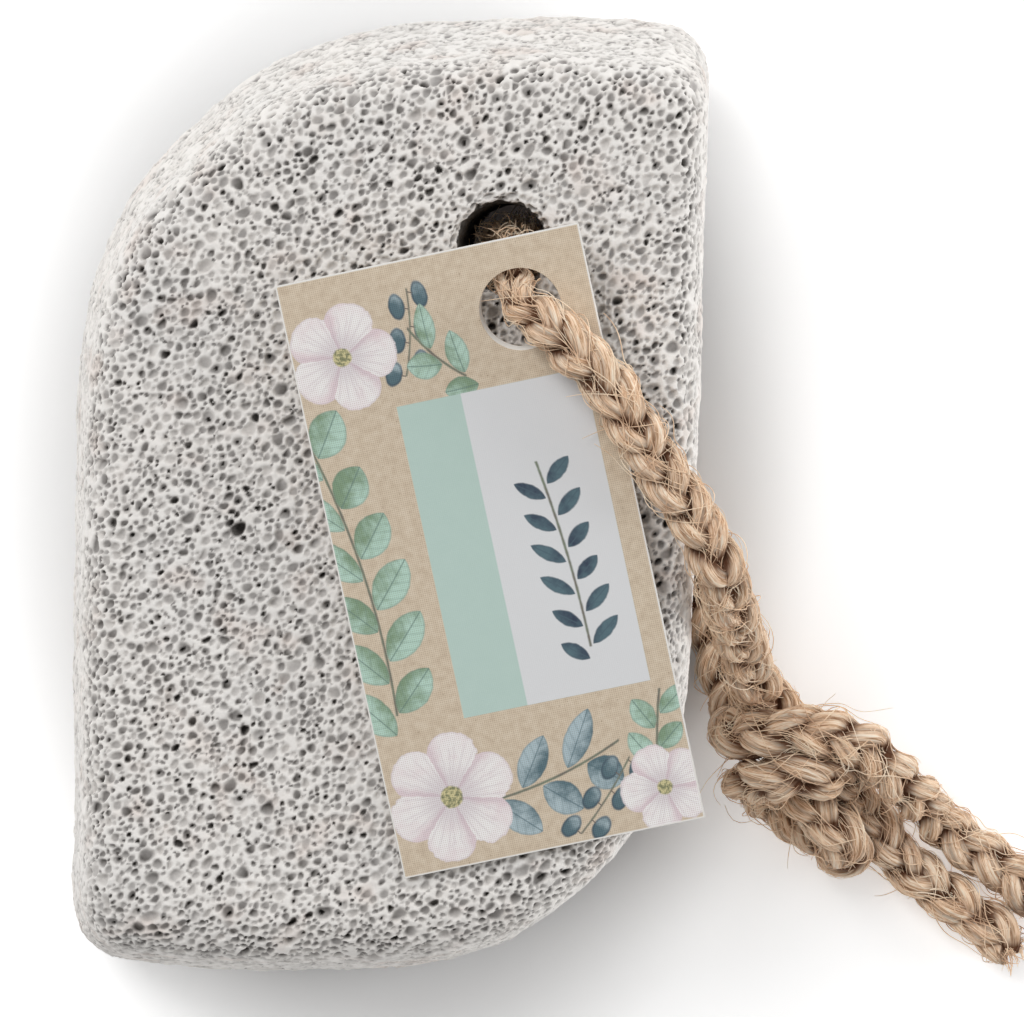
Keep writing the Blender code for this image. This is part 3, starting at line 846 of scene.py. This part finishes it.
def add_yarn(bm, layers, route, start, end, index):
    """Rolls a grid up into one yarn between two stations."""
    rings = round((end - start) / RING_STEP)
    sheet = bmesh.ops.create_grid(bm, x_segments=YARN_SIDES, y_segments=rings, size=1.0)["verts"]
    flat = np.array([vert.co for vert in sheet])
    turn = np.pi * (flat[:, 0] + 1.0)
    stations = start + (flat[:, 1] + 1.0) / 2 * (end - start)
    twist = turn - 2 * np.pi * YARN_TWIST * stations / (10 * MM)
    valley = (0.5 + 0.5 * np.cos(5 * twist + 0.9 * np.sin(stations / (2.9 * MM) + index))) ** 3
    lumps = 0.04 * np.sin(3 * twist + 1.3 * index) - 0.15 * valley + 0.035
    lumps = lumps + 0.035 * np.sin(11 * twist + 40.0 * stations / (10 * MM))
    lumps = lumps + 0.07 * np.sin(stations / (2.7 * MM) + 1.9 * index)
    radius = YARN_RADIUS * (1.0 + lumps) * route.width_share(stations)
    places = route.on_yarn(stations, index, turn, radius)
    middle, _, out, across = route.at(stations)
    wide = np.sum((places - middle) * across, axis=1) / (YARN_SWING + YARN_RADIUS)
    deep = np.sum((places - middle) * out, axis=1) / (YARN_WEAVE + YARN_RADIUS)
    outwards = np.hypot(wide, deep) / route.width_share(stations)
    # Painted shade: inside the plait, in the valleys of each yarn and near the cord's other turns
    crease = np.clip((CREASE_STARTS - outwards) / CREASE_FADE, 0.0, 1.0)
    crease = np.maximum(crease, 0.5 * valley)
    crease = np.maximum(crease, 0.9 * route.crowding(stations, places))
    places[:, 2] = np.maximum(places[:, 2], YARN_REST)
    fibre = np.stack([np.cos(twist), np.sin(twist), stations / (9.0 * MM) + 7.3 * index], axis=1)
    for vert, place, lie, dark in zip(sheet, places, fibre, crease):
        vert.co = place
        vert[layers[0]] = lie
        vert[layers[1]] = dark


def make_cord(name, route, span, material):
    """The plaited cord between two stations as one piece of three yarns."""
    bm = bmesh.new()
    bm.verts.layers.float_vector.new("fibre")
    bm.verts.layers.float.new("crease")
    layers = (bm.verts.layers.float_vector["fibre"], bm.verts.layers.float["crease"])
    for index in range(YARNS):
        add_yarn(bm, layers, route, *span, index)
    bmesh.ops.remove_doubles(bm, verts=bm.verts, dist=0.001 * MM)
    open_ends = [edge for edge in bm.edges if edge.is_boundary]
    bmesh.ops.holes_fill(bm, edges=open_ends, sides=0)
    bmesh.ops.recalc_face_normals(bm, faces=bm.faces)
    cord = mesh_object(name, bm, material)
    shade_smooth(cord)
    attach(cord, "root")
    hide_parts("cord")
    return cord


# ---------------- loose fibres

FIBRE_SEED = 5
STRAYS_PER_MM = 4.6  # along the cord
STRAY_RADIUS = 0.058 * MM
LOOSE_SHARE = 0.42
NAP_PER_MM = 12.0
HOLE_FUZZ = 620  # fibres that stand off the cord inside the stone's hole
NAP_RADIUS = 0.032 * MM
FRAYED = 70  # fibres that stick out of each cut end
FIBRE_REST = 0.08 * MM  # lowest point of a fibre's middle


def stray_line(route, span, rng):
    """A long stray fibre: some lie close along the cord, the rest run slantwise and stand off it."""
    loose = rng.rand() < LOOSE_SHARE
    length = rng.uniform(5.0, 15.0 if loose else 10.0) * MM
    slant = rng.uniform(-1.25, 1.25) if loose else rng.normal(0.0, 0.4)
    share = np.linspace(0.0, 1.0, 19)
    bow = rng.uniform(-1.1, 1.1) * np.sin(np.pi * share) + rng.uniform(-0.5, 0.5) * share**2
    stations = rng.uniform(*span) + length * np.cos(slant) * (share - 0.5)
    turn = rng.uniform(0, 2 * np.pi) + length * np.sin(slant) * (share - 0.5) / (2.4 * MM) + bow
    lift = (rng.uniform(0.1, 0.95) ** 1.5 if loose else rng.uniform(0.03, 0.18)) * MM
    arch = share**2 * 3.2 if rng.rand() < 0.3 else np.sin(np.pi * share) ** 0.7
    line = route.on_cord(np.clip(stations, 0.0, route.whole), turn, lift * arch)
    for _ in range(3):
        line[1:-1] = (line[:-2] + 2 * line[1:-1] + line[2:]) / 4
    return line


def nap_line(route, span, rng):
    """A short fibre that lies along a yarn and lifts off it a little."""
    share = np.linspace(0.0, 1.0, 5)
    length = rng.uniform(1.2, 3.4) * MM
    stations = np.clip(rng.uniform(*span) + length * share, 0.0, route.whole)
    turn = rng.uniform(0, 2 * np.pi) + rng.uniform(-0.5, 1.3) * share
    lift = rng.uniform(-0.02, 0.03) * MM + rng.uniform(0.03, 0.35) * MM * share**1.5
    radius = YARN_RADIUS * route.width_share(stations) + lift
    return route.on_yarn(stations, rng.randint(YARNS), turn, radius)


def hole_line(route, rng):
    """A fibre that stands off the cord where it is squeezed into the stone's hole."""
    share = np.linspace(0.0, 1.0, 9)
    stations = route.middle - rng.uniform(-8.0, 11.0) * MM + rng.uniform(-6.0, 4.0) * MM * share
    turn = rng.uniform(0, 2 * np.pi) + rng.uniform(-0.8, 0.8) * share
    return route.on_cord(stations, turn, rng.uniform(0.5, 2.9) * MM * share**0.7)


def frayed_line(route, station, sign, rng):
    """A short fibre that spreads from a cut end."""
    end = np.array([station])
    base = route.yarn(end, rng.randint(YARNS))[0]
    _, forward, out, across = (part[0] for part in route.at(end))
    spread = rng.normal(0.0, 0.55 * MM, 2)
    share = np.linspace(0.0, 1.0, 6)[:, None]
    lean = rng.normal(0.0, 0.5, 2)
    reach = rng.uniform(0.6, 2.4) * MM
    root = base + across * spread[0] + out * spread[1] - forward * sign * 0.3 * MM
    line = root + share * (forward * sign * reach)
    return line + share**2 * (across * lean[0] + out * lean[1]) * reach


def make_fibres(name, lines, material, radius):
    """Thin tapered tubes along the lines, joined in one piece."""
    shape = bpy.data.curves.new(name, "CURVE")
    shape.dimensions = "3D"
    shape.bevel_depth = radius
    shape.bevel_resolution = 0
    for line in lines:
        line[:, 2] = np.maximum(line[:, 2], FIBRE_REST)
        spline = shape.splines.new("POLY")
        spline.points.add(len(line) - 1)
        spline.points.foreach_set("co", np.column_stack([line, np.ones(len(line))]).ravel())
        taper = 0.35 + 0.65 * np.sin(np.pi * np.linspace(0.08, 0.92, len(line)))
        spline.points.foreach_set("radius", taper)
    piece = link(bpy.data.objects.new(name, curve_mesh(shape, material)))
    shade_smooth(piece)
    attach(piece, "root")
    return piece


def make_rope():
    path, middle = cord_path()
    route = Route(path, middle)
    jute, loose = jute_finish(), loose_fibre_finish()
    rng = np.random.RandomState(FIBRE_SEED)
    for side, end in (("front", 0.0), ("back", route.whole)):
        span = (min(middle, end), max(middle, end))
        length = span[1] - span[0]
        cord = make_cord(f"{side}_cord", route, span, jute)
        strays = [stray_line(route, span, rng) for _ in range(round(STRAYS_PER_MM * length / MM))]
        strays += [frayed_line(route, end, np.sign(end - middle), rng) for _ in range(FRAYED)]
        if side == "front":
            strays += [hole_line(route, rng) for _ in range(HOLE_FUZZ)]
        nap = [nap_line(route, span, rng) for _ in range(round(NAP_PER_MM * length / MM))]
        fibres = [make_fibres(f"{side}_stray_fibres", strays, loose, STRAY_RADIUS),
                  make_fibres(f"{side}_nap", nap, loose, NAP_RADIUS)]
        line = route.at(np.linspace(middle, end, round(length / MM) + 1))[0]


make_rope()


# ---------------- stone

STONE_GRID = 0.30 * MM  # spacing of the stone's mesh; the faces that show best have half of it
SURFACE_WEAR = 0.35 * MM
PORE_SEED = 11
# Largest and smallest radius of a kind of pore, how many places are tried, and how often one is a deep hole
PORE_KINDS = (
    (0.68 * MM, 0.48 * MM, 900, 0.02),
    (0.48 * MM, 0.33 * MM, 28000, 0.04),
    (0.33 * MM, 0.22 * MM, 110000, 0.08),
    (0.22 * MM, 0.15 * MM, 60000, 0.08),
)
PORE_SPREAD = 1.10  # how far a pore's bowl reaches past the room it was given
PORE_CELL = 1.9 * MM
PORE_STRETCH = 1.28
FLOW = np.array((0.78, 0.62, 0.0))  # the pores are drawn out this way
PORE_WARP = 0.16 * MM
SIDE_GRAIN = 0.95  # size of the sides' pores beside the front's
SIDE_SHARE = 0.78  # share of the pores that the sides keep
SIDE_PROUD = 0.8 * MM  # gives back what evening, wear and pores take off the sides
PIECE_QUADS = 85000  # most faces in one piece of the stone
# A deep hole's and a bowl's depth as a share of the radius, and how dark its painted shade is
DEEP, DEEP_DARK = (1.4, 2.2), (0.85, 1.0)
BOWL, BOWL_DARK = (0.6, 1.2), (0.27, 0.76)
FRONT_FACING = 0.35  # a face's upward share on the front
SIDE_FACING = 0.09  # and on a side that leans back far enough to be seen
# how dark the painted shade on the drilled hole's wall is
HOLE_DARK = 0.86
# Size in millimetres and share of each scale of the wear
WEAR_SCALES = ((9.0, 0.5), (2.6, 0.5), (1.0, 0.35))


def outline_loop():
    closed = [*STONE_OUTLINE[-2:], *STONE_OUTLINE, *STONE_OUTLINE[:2]]
    span = 24
    dense = curve_through(closed)[2 * span:-(span + 1)] * MM
    along = lengths_along(dense)
    return read_at(along, dense, np.linspace(0.0, along[-1], OUTLINE_POINTS, endpoint=False))


def level_insets():
    """Heights from back to front, each with how far it is inside the widest outline on the four sides."""
    levels = []
    for turn in range(0, 91, 15):
        cos, sin = cos_sin(turn)
        levels.append((BACK_ROUND * (1.0 - cos), [BACK_ROUND * (1.0 - sin)] * 4))
    lean_from = LEAN_STARTS * STONE_THICKNESS
    shoulder = STONE_THICKNESS - max(EDGE_ROUND)
    for share in (0.0, 0.5, 1.0):
        levels.append((lean_from + share * (shoulder - lean_from), [lean * share for lean in SIDE_LEAN]))
    for turn in (12.0, 25.0, 38.0, 50.0, 61.0, 72.0, 81.0, 90.0):
        cos, sin = cos_sin(turn)
        insets = [lean + radius * (1.0 - cos) for lean, radius in zip(SIDE_LEAN, EDGE_ROUND)]
        levels.append((shoulder + max(EDGE_ROUND) * sin, insets))
    return levels


def stone_block():
    """The smooth block: the outline at each level, narrowed from its four sides and skinned."""
    loop = outline_loop()
    low, high = loop.min(axis=0), loop.max(axis=0)
    bm = bmesh.new()
    rings = []
    for height, (left, right, bottom, top) in level_insets():
        inner_low = low + (left, bottom)
        inner_high = high - (right, top)
        placed = inner_low + (loop - low) / (high - low) * (inner_high - inner_low)
        verts = [bm.verts.new((x, y, height)) for x, y in placed]
        rings.append([bm.edges.new(pair) for pair in zip(verts, verts[1:] + verts[:1])])
    for below, above in zip(rings, rings[1:]):
        bmesh.ops.bridge_loops(bm, edges=below + above)
    bmesh.ops.holes_fill(bm, edges=rings[0] + rings[-1], sides=0)
    bmesh.ops.recalc_face_normals(bm, faces=bm.faces)
    return mesh_object("stone_block", bm)


def hole_drill():
    """A round drill with flared ends, turned from its half profile."""
    reach = 2.0 * MM
    wide = HOLE_RADIUS + HOLE_FLARE
    profile = (
        (0.0, -reach), (wide, -reach), (wide, 0.0), (HOLE_RADIUS, HOLE_FLARE),
        (HOLE_RADIUS, STONE_THICKNESS - HOLE_FLARE), (wide, STONE_THICKNESS),
        (wide, STONE_THICKNESS + reach), (0.0, STONE_THICKNESS + reach),
    )
    bm = bmesh.new()
    verts = [bm.verts.new((radius, 0.0, height)) for radius, height in profile]
    edges = [bm.edges.new(pair) for pair in zip(verts, verts[1:])]
    bmesh.ops.spin(
        bm, geom=verts + edges, cent=(0, 0, 0), axis=(0, 0, 1), angle=2 * math.pi, steps=64, use_merge=True
    )
    bmesh.ops.remove_doubles(bm, verts=bm.verts, dist=0.01 * MM)
    bmesh.ops.recalc_face_normals(bm, faces=bm.faces)
    bmesh.ops.translate(bm, verts=bm.verts, vec=(*HOLE_CENTRE, 0.0))
    return mesh_object("hole_drill", bm)


def even_stone():
    """The drilled block as an even fine mesh."""
    block, drill = stone_block(), hole_drill()
    hole = block.modifiers.new("hole", "BOOLEAN")
    hole.operation = "DIFFERENCE"
    hole.solver = "EXACT"
    hole.object = drill
    even = block.modifiers.new("even", "REMESH")
    even.mode = "VOXEL"
    even.voxel_size = STONE_GRID
    soft = block.modifiers.new("soft", "SMOOTH")
    soft.factor = 0.5
    soft.iterations = 3
    mesh = with_modifiers(block)
    for helper in (block, drill):
        bpy.data.objects.remove(helper)
    return mesh


def shows(face):
    """Whether a face is on the front or on the upper part of a side that leans back."""
    upper = face.verts[0].co.z > 0.5 * STONE_THICKNESS
    return face.normal.z > (SIDE_FACING if upper else FRONT_FACING)


def refined(mesh):
    """Halves the mesh's spacing where its pores show best."""
    bm = bmesh.new()
    bm.from_mesh(mesh)
    edges = {edge for face in bm.faces if shows(face) for edge in face.edges}
    bmesh.ops.subdivide_edges(bm, edges=list(edges), cuts=1, use_grid_fill=True)
    bm.to_mesh(mesh)
    bm.free()


class Pore:
    """A bowl drawn out along the flow, deepest a little off its middle."""

    def __init__(self, place, normal, radius, depth, dark, rng):
        self.place = place
        self.normal = normal
        self.radius = radius * PORE_SPREAD
        self.depth = depth
        self.dark = dark
        flow = FLOW + rng.normal(0.0, 0.22, 3)
        flow -= normal * flow.dot(normal)
        self.long_way = unit(flow)
        self.wide_way = np.cross(normal, self.long_way)
        self.stretch = PORE_STRETCH * rng.uniform(0.86, 1.2)
        self.shift = rng.uniform(-0.45, 0.45, 2)
        self.corners = rng.uniform(0.0, 0.12, 2)
        self.phases = rng.uniform(0.0, 2 * np.pi, 2)

    def press(self, places, near, depths, darkness):
        """Sinks the vertices near the pore into a bowl and paints shade into it."""
        apart = places[near] - self.place
        along = apart @ self.long_way / (self.stretch * self.radius)
        beside = apart @ self.wide_way / self.radius
        turn = np.arctan2(beside, along)
        rim = (1.0 + self.corners[0] * np.sin(2 * turn + self.phases[0])
               + self.corners[1] * np.sin(3 * turn + self.phases[1]))
        share = np.hypot(along, beside) / rim
        lean = 1.0 + (self.shift[0] * along + self.shift[1] * beside)
        bowl = np.clip(1.0 - share**2, 0.0, 1.0) ** 0.6 * lean
        depths[near] = np.maximum(depths[near], self.depth * bowl)
        # Painted shade, darkest towards the bowl's middle
        shade = np.clip(2.6 * (1.0 - share), 0.0, 1.0) * lean
        darkness[near] = np.maximum(darkness[near], self.dark * shade)


def along_flow(places):
    """The places squeezed along the flow, so that pores drawn out along it pack as balls."""
    flow = unit(FLOW)
    return places - np.outer(places @ flow, flow) * (1.0 - 1.0 / PORE_STRETCH)


def scatter_pores(places, normals):
    """Pores of falling size packed side by side over the surface, finer and fainter on the sides."""
    rng = np.random.RandomState(PORE_SEED)
    cells = {}
    pores = []
    steps = [(i, j, k) for i in (-1, 0, 1) for j in (-1, 0, 1) for k in (-1, 0, 1)]
    squeezed = along_flow(places)
    flatness = np.clip((np.abs(normals[:, 2]) - 0.25) / 0.5, 0.0, 1.0)
    from_hole = np.linalg.norm(places[:, :2] - HOLE_CENTRE, axis=1)
    flatness[from_hole < HOLE_RADIUS + HOLE_FLARE] = 1.0
    for largest, smallest, tries, deep_share in PORE_KINDS:
        for index in rng.randint(len(places), size=tries):
            place, flat = squeezed[index], flatness[index]
            shrunk = SIDE_GRAIN + (1.0 - SIDE_GRAIN) * flat
            radius = rng.uniform(smallest, largest) * shrunk
            i, j, k = (place // PORE_CELL).astype(int)
            near = [item for a, b, c in steps for item in cells.get((i + a, j + b, k + c), ())]
            if near:
                near = np.array(near)
                room = (np.linalg.norm(near[:, :3] - place, axis=1) - near[:, 3]).min()
                radius = min(radius, room)
            if radius < smallest * shrunk * 0.85:
                continue
            cells.setdefault((i, j, k), []).append((*place, radius))
            if rng.rand() > SIDE_SHARE + (1.0 - SIDE_SHARE) * flat:
                continue
            deep = rng.rand() < deep_share * (0.4 + 0.6 * flat)
            depth = radius * rng.uniform(*(DEEP if deep else BOWL)) * (0.85 + 0.15 * flat)
            # How dark the pore's painted shade is; deep holes are painted near-black
            dark = rng.uniform(*(DEEP_DARK if deep else BOWL_DARK)) * (0.8 + 0.2 * flat)
            pores.append(Pore(places[index], normals[index], radius, depth, dark, rng))
            # Some large bowls get a smaller, deeper hole beside their middle, with near-black painted shade
            if not deep and radius > 0.33 * MM and rng.rand() < 0.2 * flat:
                beside = places[index] + rng.normal(0.0, 0.3 * radius, 3)
                pores.append(Pore(beside, normals[index], 0.42 * radius, 1.9 * depth, 0.95, rng))
    return pores


def wandered(places):
    """The places shifted a little by smooth noise, so that no pore keeps an even outline."""
    moved = np.empty_like(places)
    for index, place in enumerate(places / MM):
        point = Vector(place)
        moved[index] = noise.noise_vector(point / 1.1) + 0.45 * noise.noise_vector(point / 0.45)
    return places + moved * PORE_WARP


def weathered(places, normals):
    """The surface worn unevenly inwards, its sides set out to keep the stone's width."""
    worn = np.empty(len(places))
    for index, place in enumerate(places / MM):
        point = Vector(place)
        worn[index] = sum(share * noise.noise(point / size) for size, share in WEAR_SCALES)
    outside = np.linalg.norm(places[:, :2] - HOLE_CENTRE, axis=1) > HOLE_RADIUS + 2.0 * MM
    proud = SIDE_PROUD * outside * (0.7 - 0.2 * normals[:, 0])
    set_out = normals * (1.0, 1.0, 0.0) * proud[:, None]
    return places + set_out - normals * (SURFACE_WEAR * (0.45 + worn))[:, None]


def pitted(mesh, pores):
    """Presses the pores into the mesh and stores the painted shade of each vertex."""
    places, normals = coordinates(mesh), vertex_normals(mesh)
    shifted = wandered(places)
    tree = kdtree.KDTree(len(places))
    for index, place in enumerate(shifted):
        tree.insert(place, index)
    tree.balance()
    depths, darkness = np.zeros(len(places)), np.zeros(len(places))
    for pore in pores:
        found = tree.find_range(pore.place, pore.radius * pore.stretch * 1.2)
        near = np.array([index for _, index, _ in found])
        if len(near):
            pore.press(shifted, near, depths, darkness)
    # Painted shade darkens the wall of the drilled hole
    in_hole = np.linalg.norm(places[:, :2] - HOLE_CENTRE, axis=1) < HOLE_RADIUS + 0.15 * MM
    darkness[in_hole] = np.maximum(darkness[in_hole], HOLE_DARK)
    places = weathered(places, normals) - normals * depths[:, None]
    move_vertices(mesh, places)
    store(mesh, "hollow", np.clip(darkness, 0.0, 1.0))


def in_slices(mesh, material):
    """The mesh cut crosswise into pieces of a handy size, their normals as in the whole."""
    mesh.update()
    store(mesh, "whole_normal", vertex_normals(mesh))
    count = math.ceil(len(mesh.polygons) / PIECE_QUADS)
    rank = np.empty(len(mesh.polygons), int)
    rank[np.argsort(vectors(mesh.polygons, "center")[:, 1])] = np.arange(len(mesh.polygons))
    mesh.materials.clear()
    for _ in range(count):
        mesh.materials.append(material)
    mesh.polygons.foreach_set("material_index", rank * count // len(mesh.polygons))
    whole = link(bpy.data.objects.new("stone_slice", mesh))
    bpy.ops.object.select_all(action="DESELECT")
    bpy.context.view_layer.objects.active = whole
    whole.select_set(True)
    bpy.ops.object.mode_set(mode="EDIT")
    bpy.ops.mesh.separate(type="MATERIAL")
    bpy.ops.object.mode_set(mode="OBJECT")
    pieces = [obj for obj in bpy.data.objects if obj.name.startswith("stone_slice")]
    for number, piece in enumerate(pieces, 1):
        data = piece.data
        data.materials.clear()
        data.materials.append(material)
        shade_smooth(piece)
        kept = data.attributes["whole_normal"]
        data.normals_split_custom_set_from_vertices(vectors(kept.data, "vector"))
        data.attributes.remove(data.attributes["whole_normal"])
        piece.name = f"stone_slice_{number}"
    return pieces


def make_stone(material):
    noise.seed_set(PORE_SEED)
    mesh = even_stone()
    pores = scatter_pores(coordinates(mesh), vertex_normals(mesh))
    refined(mesh)
    pitted(mesh, pores)
    mesh.transform(tipped())
    pieces = in_slices(mesh, material)
    for piece in pieces:
        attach(piece, "root")
        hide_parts("stone")


make_stone(pumice_finish())


# ---------------- tag

TAG_EDGE = 0.04 * MM  # round of the pressed edges
PUNCH_SLANT = (0.28 * MM, 0.38 * MM)  # how far the punch leans, so that its wall shows at the lower left


def tag_place():
    """How the tag leans on the stone's front."""
    half_length = TAG_LENGTH / 2
    height = STONE_THICKNESS + GAP + TAG_THICKNESS / 2 + half_length * math.sin(TAG_RISE)
    return (
        tipped() @ Matrix.Translation((*TAG_CENTRE, height))
        @ Matrix.Rotation(TAG_TURN, 4, "Z") @ Matrix.Rotation(TAG_RISE, 4, "X")
    )


def make_tag(material):
    """A punched card with softly pressed edges."""
    shape = bpy.data.curves.new("tag_shape", "CURVE")
    shape.dimensions = "2D"
    shape.fill_mode = "BOTH"
    shape.extrude = TAG_THICKNESS / 2 - TAG_EDGE
    shape.bevel_depth = TAG_EDGE
    shape.bevel_resolution = 1
    shape.offset = -TAG_EDGE
    half_width, half_length = TAG_WIDTH / 2, TAG_LENGTH / 2
    corners = [(-half_width, -half_length), (half_width, -half_length),
               (half_width, half_length), (-half_width, half_length)]
    turns = np.linspace(0.0, 2 * math.pi, 64, endpoint=False)
    rim = [(TAG_HOLE[0] + TAG_HOLE_RADIUS * math.cos(a), TAG_HOLE[1] + TAG_HOLE_RADIUS * math.sin(a))
           for a in turns]
    for outline in (corners, rim):
        spline = shape.splines.new("POLY")
        spline.points.add(len(outline) - 1)
        for point, (x, y) in zip(spline.points, outline):
            point.co = (x, y, 0.0, 1.0)
        spline.use_cyclic_u = True
    mesh = curve_mesh(shape, material)
    places = coordinates(mesh)
    at_hole = np.linalg.norm(places[:, :2] - TAG_HOLE, axis=1) < TAG_HOLE_RADIUS + 0.3 * MM
    places[at_hole & (places[:, 2] < 0.0), :2] += PUNCH_SLANT
    move_vertices(mesh, places)
    store(mesh, "on_card", places / MM)
    mesh.transform(tag_place())
    tag = link(bpy.data.objects.new("swing_tag", mesh))
    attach(tag, "root")
    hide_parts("tag")


make_tag(card_finish())


# ---------------- floor


def make_floor():
    bm = bmesh.new()
    bmesh.ops.create_grid(bm, x_segments=1, y_segments=1, size=FLOOR_SIZE / 2)
    floor = mesh_object("floor", bm, floor_finish())


make_floor()
